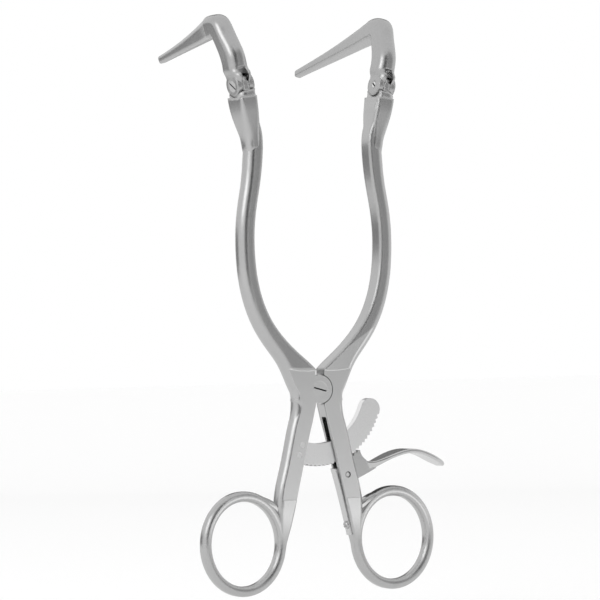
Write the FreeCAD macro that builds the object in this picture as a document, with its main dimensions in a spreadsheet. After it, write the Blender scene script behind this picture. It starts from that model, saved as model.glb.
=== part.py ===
"""Self-retaining retractor: two ringed halves on a lap joint, a ratchet with a
release lever and leaf spring, and a hinged prong at the end of each arm.

Millimetres. +Z runs up the instrument, +X to the right, -Y faces the front.
The origin is on the joint screw's axis, in the flat front face of the joint.
"""

import FreeCAD
import Part
import math
import os
import re

import Sketcher
from FreeCAD import Vector

doc = FreeCAD.newDocument("Retractor")

# Driving dimensions: word, value, meaning
SIZES = [
    ("joint_thick", 5.6, "both lugs together, and each shank, front to back"),
    ("lug_radius", 5.15, "half-thick round lug of each half"),
    ("lug_gap", 0.1, "running gap round and behind a lug"),
    ("joint_relief", 1.9, "inner edge beside the lugs, out from the joint's axis"),
    ("relief_up", 7.9, "top of the straight inner edge above the joint"),
    ("flat_up", 7.0, "top of the milled flats on the joint"),
    ("joint_screw_radius", 1.6, "shank of the joint screw"),
    ("joint_head_radius", 2.8, "flush head of the joint screw"),
    ("joint_head_deep", 1.2, "thickness of that head"),
    ("shank_start", 5.6, "top of the shank's leaning inner edge, below the joint"),
    ("shank_splay", 14.0, "lean of each shank from the upright"),
    ("shank_wide", 7.75, "shank, inner edge to outer edge"),
    ("bar_edge_round", 2.7, "rounding of a bar's outer edges"),
    ("inner_edge_round", 0.9, "rounding of a bar's inner edges"),
    ("bar_wide", 6.1, "bow bar, side to side"),
    ("bar_deep", 6.2, "bow bar, front to back"),
    ("ring_out", 31.7, "finger ring's centre, out from the middle"),
    ("ring_down", 54.5, "finger ring's centre, below the joint"),
    ("ring_hole_wide", 27.4, "opening of the ring, across"),
    ("ring_hole_high", 30.2, "opening of the ring, up and down"),
    ("ring_bar", 3.7, "ring's bar, in the plane of the ring"),
    ("ring_bar_deep", 4.4, "ring's bar, front to back"),
    ("hinge_out", 30.0, "tip hinge's centre, out from the middle"),
    ("hinge_up", 109.3, "tip hinge's centre, above the joint"),
    ("hinge_lean", 12.0, "outward lean of hinge block and tip"),
    ("hinge_radius", 3.9, "rounded ears and tongue"),
    ("hinge_wide", 6.9, "over both ears"),
    ("tongue_thick", 2.5, "tongue of the arm"),
    ("tongue_gap", 0.06, "side play of the tongue in its fork"),
    ("seat_gap", 0.2, "ear to the hollow seat under it"),
    ("fork_deep", 6.2, "hinge centre to the root of the fork"),
    ("block_wide", 6.5, "hinge block, side to side"),
    ("block_deep", 9.3, "hinge block, front to back, at its top"),
    ("block_top", 2.2, "block's top, below the hinge centre"),
    ("hinge_pin_radius", 1.1, "shank of a hinge screw"),
    ("hinge_head_radius", 2.1, "flush head of a hinge screw"),
    ("hinge_head_deep", 0.9, "thickness of that head"),
    ("fit", 0.03, "radial play of a pin or screw in its hole"),
    ("screw_slot", 0.55, "width of a screwdriver slot"),
    ("slot_deep", 0.5, "depth of a screwdriver slot"),
    ("tip_wide", 6.2, "tip shaft, side to side"),
    ("prong_wide", 2.8, "prong, side to side, at its end"),
    ("prong_high", 2.9, "prong, top to bottom, at its end"),
    ("prong_reach", 56.0, "hinge centre to the prong's end, to the back"),
    ("prong_toe", 2.6, "inward toe of the prong's end"),
    ("ratchet_inner", 19.5, "inner edge of the ratchet bar, from the joint"),
    ("ratchet_root", 27.0, "root of the ratchet teeth, from the joint"),
    ("tooth_high", 0.7, "height of a ratchet tooth"),
    ("tooth_pitch", 3.6, "turn from tooth to tooth"),
    ("tooth_first", -14.4, "first tooth gap, from straight down"),
    ("ratchet_start", -27.0, "buried end of the bar, from straight down"),
    ("ratchet_end", 70.5, "start of the bar's round end"),
    ("ratchet_thick", 2.5, "ratchet bar and lever plate"),
    ("slot_play", 0.2, "bar and lever to each wall of their slot"),
    ("slot_top", 10.3, "top of the right shank's slot, along the shank"),
    ("slot_end", 40.0, "bottom of that slot, along the shank"),
    ("rivet_radius", 0.9, "rivets that hold the ratchet bar"),
    ("rivet_turn", -21.5, "rivets, from straight down"),
    ("rivet_spread", 1.9, "rivets, each side of the bar's middle"),
    ("lever_pin_out", 11.35, "lever's pin, out from the middle"),
    ("lever_pin_down", 31.0, "lever's pin, below the joint"),
    ("lever_pin_radius", 0.9, "pin of the lever"),
    ("pawl_lift", 0.12, "pawl tooth to ratchet tooth, as drawn"),
    ("pawl_turn", 33.1, "middle of the pawl's teeth, from straight down"),
    ("tab_wide", 8.6, "thumb tab, front to back"),
    ("tab_thick", 1.5, "thumb tab, top to bottom"),
    ("spring_wide", 3.1, "leaf spring, front to back"),
    ("spring_thick", 0.6, "leaf spring's strip"),
    ("spring_lift", 0.55, "spring's free end off the shank"),
    ("spring_low", 54.3, "spring's lower end, along the shank"),
    ("spring_high", 29.3, "spring's free end, along the shank"),
    ("spring_screw_at", 50.5, "spring's screw, along the shank"),
    ("spring_screw_radius", 0.8, "thread of the spring's screw"),
    ("spring_head_radius", 1.5, "domed head of the spring's screw"),
    ("spring_head_high", 1.1, "height of that head"),
]
WORDS = {word for word, _, _ in SIZES}

sheet = doc.addObject("Spreadsheet::Sheet", "sizes")
for row, (word, size, meaning) in enumerate(SIZES, start=1):
    sheet.set(f"A{row}", meaning)
    sheet.set(f"B{row}", str(size))
    sheet.setAlias(f"B{row}", word)
doc.recompute()


def bound(expression):
    """An expression in the sheet's words, written as the document wants it."""
    return re.sub(r"[A-Za-z_]\w*", lambda m: f"sizes.{m[0]}" if m[0] in WORDS else m[0],
                  str(expression))


def number(expression):
    """What such an expression is worth now."""
    worth = sheet.evalExpression(bound(expression))
    return float(getattr(worth, "Value", worth))


def bind(thing, prop, expression):
    thing.setExpression(prop, bound(expression))


def place(thing, prop, spot, axis=(0, 1, 0), turn="0"):
    """Binds a placement to a spot and a turn about one axis."""
    for letter, share in zip("xyz", axis):
        bind(thing, f"{prop}.Rotation.Axis.{letter}", share)
    bind(thing, f"{prop}.Rotation.Angle", turn)
    for letter, value in zip("xyz", spot):
        bind(thing, f"{prop}.Base.{letter}", value)


def new_body(label):
    body = doc.addObject("PartDesign::Body", label)
    body.Label = label
    return body


def sketch_on(body, role, spot=("0", "0", "0"), axis=(0, 1, 0), turn="0"):
    """A sketch on one of the body's own origin planes, moved and turned on it."""
    sketch = body.newObject("Sketcher::SketchObject", f"{body.Name}_sketch")
    plane = next(f for f in body.Origin.OriginFeatures if f.Role == role)
    sketch.AttachmentSupport = [(plane, "")]
    sketch.MapMode = "FlatFace"
    place(sketch, "AttachmentOffset", spot, axis, turn)
    return sketch


def tie(sketch, ties):
    """Adds constraints to a sketch together; each is a kind, what it holds and,
    for a dimension, the expression that drives it."""
    made = [Sketcher.Constraint(kind, *held, *(number(driver) for driver in drivers))
            for kind, held, *drivers in ties]
    for index, (_, _, *drivers) in zip(sketch.addConstraint(made), ties):
        for driver in drivers:
            bind(sketch, f"Constraints[{index}]", driver)


def spot_ties(geometry, end, across, along):
    """The two dimensions that hold a point of a sketch."""
    return [("DistanceX", (-1, 1, geometry, end), across),
            ("DistanceY", (-1, 1, geometry, end), along)]


def circle(sketch, radius, across="0", along="0"):
    middle = Vector(number(across), number(along), 0)
    hoop = sketch.addGeometry(Part.Circle(middle, Vector(0, 0, 1), number(radius)))
    tie(sketch, [("Radius", (hoop,), radius), *spot_ties(hoop, 3, across, along)])


def ellipse(sketch, across, along, half_wide, half_high):
    """An upright ellipse, its taller axis along the sketch's own Y."""
    middle = Vector(number(across), number(along), 0)
    wide, high = number(half_wide), number(half_high)
    oval = Part.Ellipse(middle + Vector(0, high, 0), middle + Vector(wide, 0, 0), middle)
    shape = sketch.addGeometry(oval)
    sketch.exposeInternalGeometry(shape)
    major, minor = shape + 1, shape + 2
    tie(sketch, [*spot_ties(shape, 3, across, along), ("Vertical", (major,)),
                 ("Distance", (major,), f"2 * ({half_high})"),
                 ("Distance", (minor,), f"2 * ({half_wide})")])


def outline(sketch, steps):
    """A closed line of (x, y) corners; a step of four values is an arc by way of
    its first two. Every corner is tied to its two expressions."""
    spots = [step[-2:] for step in steps]
    made, ties = [], []
    for count, step in enumerate(steps):
        start = Vector(number(spots[count - 1][0]), number(spots[count - 1][1]), 0)
        finish = Vector(number(step[-2]), number(step[-1]), 0)
        if len(step) == 2:
            made.append((sketch.addGeometry(Part.LineSegment(start, finish)), 1, 2))
            continue
        middle = Vector(number(step[0]), number(step[1]), 0)
        arc = sketch.addGeometry(Part.Arc(start, middle, finish))
        turned = (sketch.getPoint(arc, 1) - start).Length > 1e-6
        made.append((arc, 2, 1) if turned else (arc, 1, 2))
        mark = sketch.addGeometry(Part.Point(middle), True)
        ties += spot_ties(mark, 1, step[0], step[1])
        ties.append(("PointOnObject", (mark, 1, arc)))
    for count, (geometry, _, tail) in enumerate(made):
        following, head, _ = made[(count + 1) % len(made)]
        ties.append(("Coincident", (geometry, tail, following, head)))
        ties += spot_ties(geometry, tail, *spots[count])
    tie(sketch, ties)


def bar_section(sketch, wide, deep, outer="bar_edge_round", inner="inner_edge_round"):
    """A rounded oblong about the sketch's origin, its outer side towards +x."""
    limit = f"0.49 * min({wide}; {deep})"
    big = f"min({outer}; {limit})"
    small = f"min({inner}; {limit})"
    half_wide, half_deep = f"({wide}) / 2", f"({deep}) / 2"
    share = math.sqrt(0.5)
    corners = []
    for side, height, radius in ((1, 1, big), (-1, 1, small), (-1, -1, small), (1, -1, big)):
        edge_x, edge_y = f"{side} * {half_wide}", f"{height} * {half_deep}"
        flat = (f"{edge_x} - {side} * {radius}", edge_y)
        upright = (edge_x, f"{edge_y} - {height} * {radius}")
        knee = (f"{edge_x} - {side} * (1 - {share}) * {radius}",
                f"{edge_y} - {height} * (1 - {share}) * {radius}")
        first, last = (upright, flat) if side == height else (flat, upright)
        corners += [first, (*knee, *last)]
    outline(sketch, corners)


def feature(body, kind, name):
    made = body.newObject(f"PartDesign::{kind}", f"{body.Name}_{name}")
    made.FuzzyTolerance = 0
    made.Refine = False
    return made


def loft(body, sections):
    solid = feature(body, "AdditiveLoft", "loft")
    solid.Profile = sections[0]
    solid.Sections = sections[1:]
    solid.Ruled = False
    doc.recompute()
    return solid


def pad(body, sketch, length, both=True, back=False):
    """A pad, to both sides of its sketch unless told, or to +Y with back."""
    solid = feature(body, "Pad", "pad")
    solid.Profile = sketch
    solid.Midplane = both
    solid.Reversed = back
    bind(solid, "Length", length)
    doc.recompute()
    return solid


def pocket(body, sketch, length, both=True, back=False):
    """A pocket, to both sides of its sketch unless told, or to +Y with back."""
    before = body.Shape.Volume
    hollow = feature(body, "Pocket", "pocket")
    hollow.Profile = sketch
    hollow.Midplane = both
    hollow.Reversed = not back and not both
    bind(hollow, "Length", length)
    doc.recompute()
    if body.Shape.Volume > before - 1e-3:
        raise RuntimeError(f"{hollow.Name} of {body.Label} cuts nothing")
    return hollow


def turned_solid(body, sketch, axis):
    """A solid of revolution about the sketch's own H_Axis or V_Axis."""
    solid = feature(body, "Revolution", "turning")
    solid.Profile = sketch
    solid.ReferenceAxis = (sketch, [axis])
    solid.Angle = 360
    doc.recompute()
    return solid


# Places that more than one piece shares
MIDDLE = "joint_thick / 2"
SLOT_WIDE = "(ratchet_thick + 2 * slot_play)"
TEETH_TIP = "(ratchet_root + tooth_high)"
RATCHET_MIDDLE = "((ratchet_inner + ratchet_root) / 2)"
IN_THE_JOINT = 17
PAST_THE_KNEE = 7


def along_shank(distance, outwards="0"):
    """A spot beside the right shank's inner edge: down it, then square out of it."""
    return (
        f"(joint_relief + (({distance}) - shank_start) * sin(shank_splay)"
        f" + ({outwards}) * cos(shank_splay))",
        f"(-shank_start - (({distance}) - shank_start) * cos(shank_splay)"
        f" + ({outwards}) * sin(shank_splay))",
    )


def below_hinge(distance):
    """A spot on the hinge block's axis, so far under the hinge centre."""
    return (f"(hinge_out - ({distance}) * sin(hinge_lean))",
            f"(hinge_up - ({distance}) * cos(hinge_lean))")


def half_bar_stations():
    """The forged bar of a half from hinge block to ring: spot, lean, width, depth."""
    def shank(distance, wide, deep="joint_thick + 0.5"):
        spot = along_shank(distance, f"({wide}) / 2")
        return (*spot, "-shank_splay", wide, deep)

    return [
        (*below_hinge("block_top"), "hinge_lean", "block_wide", "block_deep"),
        (*below_hinge("block_top + 4"), "hinge_lean", "block_wide", "block_deep - 0.5"),
        (*below_hinge("block_top + 8.5"), "hinge_lean", "block_wide - 0.1", "block_deep - 1.7"),
        (*below_hinge("block_top + 13"), "hinge_lean - 2", "bar_wide + 0.2", "bar_deep + 0.7"),
        ("hinge_out - 4.2", "hinge_up - 18", "5", "bar_wide + 0.1", "bar_deep"),
        ("hinge_out - 4.4", "hinge_up - 22.5", "0", "bar_wide + 0.1", "bar_deep"),
        ("hinge_out - 3.7", "hinge_up - 31", "-7", "bar_wide", "bar_deep"),
        ("hinge_out - 2.3", "hinge_up - 39.6", "-8.5", "bar_wide - 0.2", "bar_deep"),
        ("hinge_out - 0.9", "hinge_up - 48.3", "-6", "bar_wide - 0.2", "bar_deep"),
        ("hinge_out - 0.5", "hinge_up - 56.9", "0", "bar_wide - 0.2", "bar_deep"),
        ("hinge_out - 1", "hinge_up - 65.6", "6.5", "bar_wide - 0.1", "bar_deep"),
        ("hinge_out - 2.6", "hinge_up - 74.2", "14", "bar_wide", "bar_deep"),
        ("hinge_out - 5.8", "26.5", "27", "bar_wide + 0.2", "bar_deep"),
        ("18.4", "17.8", "42", "bar_wide + 0.6", "bar_deep"),
        ("14.3", "13.2", "48", "bar_wide + 1.3", "bar_deep"),
        ("9.8", "7.9", "44", "bar_wide + 3.7", "bar_deep + 0.1"),
        ("5.9", "3.1", "30", "bar_wide + 6.2", "bar_deep"),
        ("5.5", "-3.3", "8", "bar_wide + 3.9", "joint_thick + 0.5"),
        ("6.9", "-10.6", "-8", "bar_wide + 1.8", "joint_thick + 0.5"),
        shank("21.2", "shank_wide"),
        shank("31.5", "shank_wide"),
        shank("37", "shank_wide + 0.15"),
        ("ring_out - 16.8", "-ring_down + 11", "-12", "shank_wide - 0.55", "joint_thick + 0.1"),
        ("ring_out - 16.1", "-ring_down + 4", "-8", "ring_bar + 1.3", "ring_bar_deep + 0.5"),
        ("ring_out - 15.4", "-ring_down - 2.5", "-3", "ring_bar - 0.5", "ring_bar_deep - 0.2"),
    ]


def forged_bar(body, side):
    """Lofts arm and shank, which meet in the joint; side is -1 left, 1 right."""
    sections = []
    for out, up, lean, wide, deep in half_bar_stations():
        turn = f"{lean}" if side > 0 else f"180 - ({lean})"
        section = sketch_on(body, "XY_Plane", (f"{side} * ({out})", MIDDLE, up), turn=turn)
        bar_section(section, wide, deep)
        sections.append(section)
    loft(body, sections[:IN_THE_JOINT + 1])
    loft(body, sections[IN_THE_JOINT:])


def finger_ring(body, side):
    """An oval ring, cut from the flat and rounded all over."""
    oval = sketch_on(body, "XZ_Plane", ("0", "0", f"-{MIDDLE}"))
    for grow in ("ring_bar", "0"):
        ellipse(oval, f"{side} * ring_out", "-ring_down",
                f"ring_hole_wide / 2 + {grow}", f"ring_hole_high / 2 + {grow}")
    blank = pad(body, oval, "ring_bar_deep")
    rounding = feature(body, "Fillet", "ring_rounding")
    rounding.Base = blank
    rounding.UseAllEdges = True
    bind(rounding, "Radius", "0.44 * min(ring_bar; ring_bar_deep)")
    doc.recompute()


def joint_faces(body, side):
    """Straight inner edges, milled flats, the lug and the recess for the other lug."""
    front = side < 0
    beside = sketch_on(body, "XZ_Plane", ("0", "0", f"-{MIDDLE}"))
    inner = f"{side} * joint_relief"
    across = f"{side} * -12"
    foot_out, foot_down = along_shank("spring_low + 0.5")
    outline(beside, [(across, foot_down), (f"{side} * {foot_out}", foot_down),
                     (inner, "-shank_start"), (inner, "relief_up + 4"),
                     (across, "relief_up + 4")])
    pocket(body, beside, "joint_thick + 4")
    for y, towards_front in (("0", True), ("joint_thick", False)):
        flat = sketch_on(body, "XZ_Plane", ("0", "0", f"-({y})"))
        low = "-(ring_down - ring_hole_high / 2)"
        outline(flat, [(f"{side} * -3", low), (f"{side} * ring_out", low),
                       (f"{side} * 17", "flat_up + 1.5"),
                       (f"{side} * 7", "flat_up - 0.3", f"{side} * -3", "flat_up + 0.6")])
        pocket(body, flat, "2", both=False, back=not towards_front)
    lug_face = "0" if front else "joint_thick / 2 + lug_gap / 4"
    lug = sketch_on(body, "XZ_Plane", ("0", "0", f"-({lug_face})"))
    circle(lug, "lug_radius")
    pad(body, lug, "joint_thick / 2 - lug_gap / 4", both=False, back=True)
    recess_face = "joint_thick / 2 - lug_gap / 4" if front else "-1"
    recess = sketch_on(body, "XZ_Plane", ("0", "0", f"-({recess_face})"))
    circle(recess, "lug_radius + lug_gap")
    deep = "joint_thick / 2 + 1" if front else "joint_thick / 2 + lug_gap / 4 + 1"
    pocket(body, recess, deep, both=False, back=True)
    bore = sketch_on(body, "XZ_Plane", ("0", "0", f"-{MIDDLE}"))
    circle(bore, "joint_screw_radius + fit")
    pocket(body, bore, "joint_thick + 2")


def arm_tongue(body, side):
    """The hollow seat for the ears, the tongue between them and its bore."""
    centre = (MIDDLE, "hinge_up", f"{side} * hinge_out")
    hinge_plane = dict(spot=centre, axis=(1, 0, 0), turn=f"{side} * hinge_lean")
    seat = sketch_on(body, "YZ_Plane", **hinge_plane)
    circle(seat, "hinge_radius + seat_gap")
    pocket(body, seat, "block_wide + 6")
    tongue = sketch_on(body, "YZ_Plane", **hinge_plane)
    low = "-(hinge_radius + 1.6)"
    outline(tongue, [("-hinge_radius * 0.9", low), ("-hinge_radius", "0"),
                     ("0", "hinge_radius", "hinge_radius", "0"),
                     ("hinge_radius * 0.9", low)])
    pad(body, tongue, "tongue_thick")
    bore = sketch_on(body, "YZ_Plane", **hinge_plane)
    circle(bore, "hinge_pin_radius + fit")
    pocket(body, bore, "tongue_thick + 1")


def left_half():
    body = new_body("left_half")
    finger_ring(body, -1)
    forged_bar(body, -1)
    joint_faces(body, -1)
    arm_tongue(body, -1)
    head = sketch_on(body, "XZ_Plane")
    circle(head, "joint_head_radius + fit")
    pocket(body, head, "joint_head_deep", both=False, back=True)
    mortise = sketch_on(body, "XZ_Plane", ("0", "0", f"-{MIDDLE}"))
    ratchet_outline(mortise, "0.02", "30")
    pocket(body, mortise, "ratchet_thick + 0.04")
    rivets = sketch_on(body, "XZ_Plane", ("0", "0", f"-{MIDDLE}"))
    for sign in (-1, 1):
        circle(rivets, "rivet_radius + 0.01", *rivet_spot(sign))
    pocket(body, rivets, "joint_thick + 2")
    return body


def rivet_spot(sign):
    radius = f"({RATCHET_MIDDLE} + {sign} * rivet_spread)"
    return f"{radius} * sin(rivet_turn)", f"-{radius} * cos(rivet_turn)"


def ratchet_outline(sketch, grow, finish):
    """The bar's arc without its teeth, from its buried end to a plain finish."""
    inner = f"(ratchet_inner - {grow})"
    outer = f"({TEETH_TIP} + {grow})"
    start = f"(ratchet_start - {grow})"
    middle = f"(({start} + {finish}) / 2)"
    outline(sketch, [on_arc(inner, start), (*on_arc(inner, middle), *on_arc(inner, finish)),
                     on_arc(outer, finish), (*on_arc(outer, middle), *on_arc(outer, start))])


def right_half():
    body = new_body("right_half")
    finger_ring(body, 1)
    forged_bar(body, 1)
    joint_faces(body, 1)
    arm_tongue(body, 1)
    slot = sketch_on(body, "XZ_Plane", ("0", "0", f"-{MIDDLE}"))
    outline(slot, [along_shank("slot_top", "-3"), along_shank("slot_top", "shank_wide + 3"),
                   along_shank("slot_end", "shank_wide + 3"), along_shank("slot_end", "-3")])
    pocket(body, slot, SLOT_WIDE)
    pin_hole = sketch_on(body, "XZ_Plane", ("0", "0", f"-{MIDDLE}"))
    circle(pin_hole, "lever_pin_radius + 0.01", "lever_pin_out", "-lever_pin_down")
    pocket(body, pin_hole, "joint_thick + 2")
    thread = sketch_on(body, "YZ_Plane", (MIDDLE, along_shank("spring_screw_at")[1],
                                          along_shank("spring_screw_at")[0]),
                       axis=(1, 0, 0), turn="-shank_splay")
    circle(thread, "spring_screw_radius + 0.01")
    pocket(body, thread, "2 * 3.4")
    return body


def screw(label, spot, axis, turn, shank_radius, head_radius, head_deep, length, slot_turn):
    """A slotted screw lying along its own Y, its head's flat face at y = 0."""
    body = new_body(label)
    place(body, "Placement", spot, axis, turn)
    profile = sketch_on(body, "XY_Plane")
    outline(profile, [("0", "0"), (head_radius, "0"), (head_radius, head_deep),
                      (shank_radius, head_deep), (shank_radius, length), ("0", length)])
    turned_solid(body, profile, "V_Axis")
    slot = sketch_on(body, "XZ_Plane", ("0", "0", "0"), (0, 0, 1), slot_turn)
    half, long = "screw_slot / 2", f"{head_radius} + 0.5"
    outline(slot, [(f"-({long})", f"-{half}"), (long, f"-{half}"), (long, half), (f"-({long})", half)])
    pocket(body, slot, "slot_deep", both=False, back=True)
    return body


def joint_screw():
    return screw("joint_screw", ("0", "0", "0"), (0, 1, 0), "0",
                 "joint_screw_radius", "joint_head_radius", "joint_head_deep - fit",
                 "joint_thick", "-15")


def hinge_screw(side):
    """Flush in the tip's outer ear, through the tongue, to the inner ear's face."""
    label = "left_hinge_screw" if side < 0 else "right_hinge_screw"
    spot = (f"{side} * (hinge_out + hinge_wide / 2 * cos(hinge_lean))", MIDDLE,
            "hinge_up - hinge_wide / 2 * sin(hinge_lean)")
    body = new_body(label)
    place(body, "Placement", spot, (0, 1, 0), f"{side} * hinge_lean")
    profile = sketch_on(body, "XY_Plane")
    inward = -side
    outline(profile, [("0", "0"), ("0", "hinge_head_radius"),
                      (f"{inward} * hinge_head_deep", "hinge_head_radius"),
                      (f"{inward} * hinge_head_deep", "hinge_pin_radius"),
                      (f"{inward} * hinge_wide", "hinge_pin_radius"),
                      (f"{inward} * hinge_wide", "0")])
    turned_solid(body, profile, "H_Axis")
    slot = sketch_on(body, "YZ_Plane", axis=(0, 0, 1), turn="35")
    half, long = "screw_slot / 2", "hinge_head_radius + 0.5"
    outline(slot, [(f"-({long})", f"-{half}"), (long, f"-{half}"), (long, half), (f"-({long})", half)])
    pocket(body, slot, "2 * slot_deep")
    return body


def tip_stations():
    """The tip's bar from the hinge over the knee to the prong's end, in the hinge's
    own frame: back, up, turn from upright, height, width, toe."""
    def prong(share, back, up, thick):
        wide = f"tip_wide + (prong_wide - tip_wide) * {share}"
        return (f"prong_reach * {back}", up, "105", thick, wide, f"prong_toe * {share}")

    return [
        ("0.1", "0.4", "3", "2 * hinge_radius - 0.3", "hinge_wide", "0"),
        ("0.7", "5", "7", "7.3", "tip_wide + 0.3", "0"),
        ("1.4", "9.2", "11", "7", "tip_wide", "0"),
        ("2.6", "13.7", "17", "6.7", "tip_wide", "0"),
        ("4.4", "18.2", "31", "6.7", "tip_wide", "0"),
        ("5.6", "20.9", "50", "7.2", "tip_wide", "0"),
        ("7.6", "22.1", "75", "7.5", "tip_wide", "0"),
        ("11.5", "21.7", "99", "7.3", "tip_wide - 0.1", "0"),
        prong("0.22", "0.33", "19.5", "6.3"),
        prong("0.47", "0.54", "16.1", "4.8"),
        prong("0.76", "0.78", "12.5", "3.6"),
        prong("1", "1", "9.4", "prong_high"),
    ]


def tip(side):
    label = "left_tip" if side < 0 else "right_tip"
    body = new_body(label)
    place(body, "Placement", (f"{side} * hinge_out", MIDDLE, "hinge_up"), (0, 1, 0),
          f"{side} * hinge_lean")
    sections = []
    for back, up, turn, high, wide, toe in tip_stations():
        section = sketch_on(body, "XY_Plane", (f"{-side} * ({toe})", back, up), (1, 0, 0),
                            f"-({turn})")
        tip_section(section, wide, high)
        sections.append(section)
    loft(body, sections[:PAST_THE_KNEE + 1])
    loft(body, sections[PAST_THE_KNEE:])
    ears = sketch_on(body, "YZ_Plane")
    circle(ears, "hinge_radius")
    pad(body, ears, "hinge_wide")
    fork = sketch_on(body, "YZ_Plane")
    outline(fork, [("-9", "-9"), ("9", "-9"), ("9", "fork_deep"), ("-9", "fork_deep")])
    pocket(body, fork, "tongue_thick + 2 * tongue_gap")
    bore = sketch_on(body, "YZ_Plane")
    circle(bore, "hinge_pin_radius + fit")
    pocket(body, bore, "hinge_wide + 2")
    sink = sketch_on(body, "YZ_Plane", ("0", "0", f"{side} * (hinge_wide / 2 - hinge_head_deep)"))
    circle(sink, "hinge_head_radius + fit")
    pocket(body, sink, "hinge_head_deep + 1", both=False, back=side < 0)
    return body


def tip_section(sketch, wide, high):
    """Flat sides, a full round towards the front or top, softened at the back."""
    big = f"min(0.42 * ({wide}); 0.45 * ({high}))"
    small = f"min(0.7; 0.3 * ({high}))"
    half_wide, half_high = f"({wide}) / 2", f"({high}) / 2"
    share = math.sqrt(0.5)
    corners = []
    for side, height, radius in ((1, 1, small), (-1, 1, small), (-1, -1, big), (1, -1, big)):
        edge_x, edge_y = f"{side} * {half_wide}", f"{height} * {half_high}"
        flat = (f"{edge_x} - {side} * {radius}", edge_y)
        upright = (edge_x, f"{edge_y} - {height} * {radius}")
        knee = (f"{edge_x} - {side} * (1 - {share}) * {radius}",
                f"{edge_y} - {height} * (1 - {share}) * {radius}")
        first, last = (upright, flat) if side == height else (flat, upright)
        corners += [first, (*knee, *last)]
    outline(sketch, corners)


def ratchet_bar():
    """The arc bar: blank with a round end, then one tooth gap repeated round it."""
    body = new_body("ratchet_bar")
    blank = sketch_on(body, "XZ_Plane", ("0", "0", f"-{MIDDLE}"))
    middle = "((ratchet_start + ratchet_end) / 2)"
    round_over = f"(ratchet_end + 57.3 * ({TEETH_TIP} - ratchet_inner) / 2 / {RATCHET_MIDDLE})"
    outline(blank, [
        on_arc("ratchet_inner", "ratchet_start"),
        (*on_arc("ratchet_inner", middle), *on_arc("ratchet_inner", "ratchet_end")),
        (*on_arc(RATCHET_MIDDLE, round_over), *on_arc(TEETH_TIP, "ratchet_end")),
        (*on_arc(TEETH_TIP, middle), *on_arc(TEETH_TIP, "ratchet_start"))])
    pad(body, blank, "ratchet_thick")
    gap = sketch_on(body, "XZ_Plane", ("0", "0", f"-{MIDDLE}"))
    over = f"({TEETH_TIP} + 0.3)"
    outline(gap, [on_arc("ratchet_root", "tooth_first"),
                  on_arc(over, "(tooth_first + tooth_pitch * 0.66)"),
                  on_arc(over, "(tooth_first - tooth_pitch * 0.66)")])
    cut = pocket(body, gap, "ratchet_thick + 1")
    repeat_round(body, cut, "floor((ratchet_end - tooth_first) / tooth_pitch + 1)")
    for sign in (-1, 1):
        rivet = sketch_on(body, "XZ_Plane", ("0", "0", f"-{MIDDLE}"))
        circle(rivet, "rivet_radius + 0.01", *rivet_spot(sign))
        pocket(body, rivet, "ratchet_thick + 1")
    return body


def plain_pin(label, radius, across, down):
    """A pin flush with both faces of a shank."""
    body = new_body(label)
    end = sketch_on(body, "XZ_Plane", ("0", "0", f"-{MIDDLE}"))
    circle(end, radius, across, down)
    pad(body, end, "joint_thick")
    return body


def by_pin(out, up):
    """A spot given from the lever's pin."""
    return f"(lever_pin_out + ({out}))", f"(-lever_pin_down + ({up}))"


def on_arc(radius, turn):
    """A spot so far from the joint, turned from straight down towards the right."""
    return f"({radius} * sin({turn}))", f"(-{radius} * cos({turn}))"


def release_lever():
    """Slotted in the right shank: pawl teeth, heel for the spring and thumb tab."""
    body = new_body("release_lever")
    plate = sketch_on(body, "XZ_Plane", ("0", "0", f"-{MIDDLE}"))
    crown = f"({TEETH_TIP} + pawl_lift)"
    outline(plate, [
        by_pin("-2.9", "0.4"),
        (*by_pin("-1.3", "3.6"), *on_arc(crown, "pawl_turn - 6")),
        (*on_arc(crown, "pawl_turn"), *on_arc(crown, "pawl_turn + 6")),
        (*by_pin("6.9", "6.8"), *by_pin("9.2", "5")),
        by_pin("12", "5"), by_pin("13", "3.4"), by_pin("10", "1.2"), by_pin("5.2", "-1.6"),
        (*by_pin("1.2", "-3"), *by_pin("-2.6", "-2.4"))])
    pad(body, plate, "ratchet_thick")
    thumb_tab(body)
    bore = sketch_on(body, "XZ_Plane", ("0", "0", f"-{MIDDLE}"))
    circle(bore, "lever_pin_radius + fit", *by_pin("0", "0"))
    pocket(body, bore, "ratchet_thick + 2")
    gap = sketch_on(body, "XZ_Plane", ("0", "0", f"-{MIDDLE}"))
    first = "(pawl_turn - 1.5 * tooth_pitch)"
    outline(gap, [on_arc(f"({crown} + tooth_high + 0.1)", first),
                  on_arc(f"({crown} - 0.2)", f"({first} + tooth_pitch * 0.62)"),
                  on_arc(f"({crown} - 0.2)", f"({first} - tooth_pitch * 0.62)")])
    cut = pocket(body, gap, "ratchet_thick + 1")
    repeat_round(body, cut, "4")
    return body


def repeat_round(body, cut, times):
    """Repeats a cut round the joint's axis at the tooth pitch."""
    teeth = feature(body, "PolarPattern", "teeth")
    teeth.Originals = [cut]
    axis = next(f for f in body.Origin.OriginFeatures if f.Role == "Y_Axis")
    teeth.Axis = (axis, [""])
    teeth.Reversed = True
    bind(teeth, "Angle", f"tooth_pitch * ({times} - 1)")
    bind(teeth, "Occurrences", times)
    body.Tip = teeth
    doc.recompute()


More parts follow.
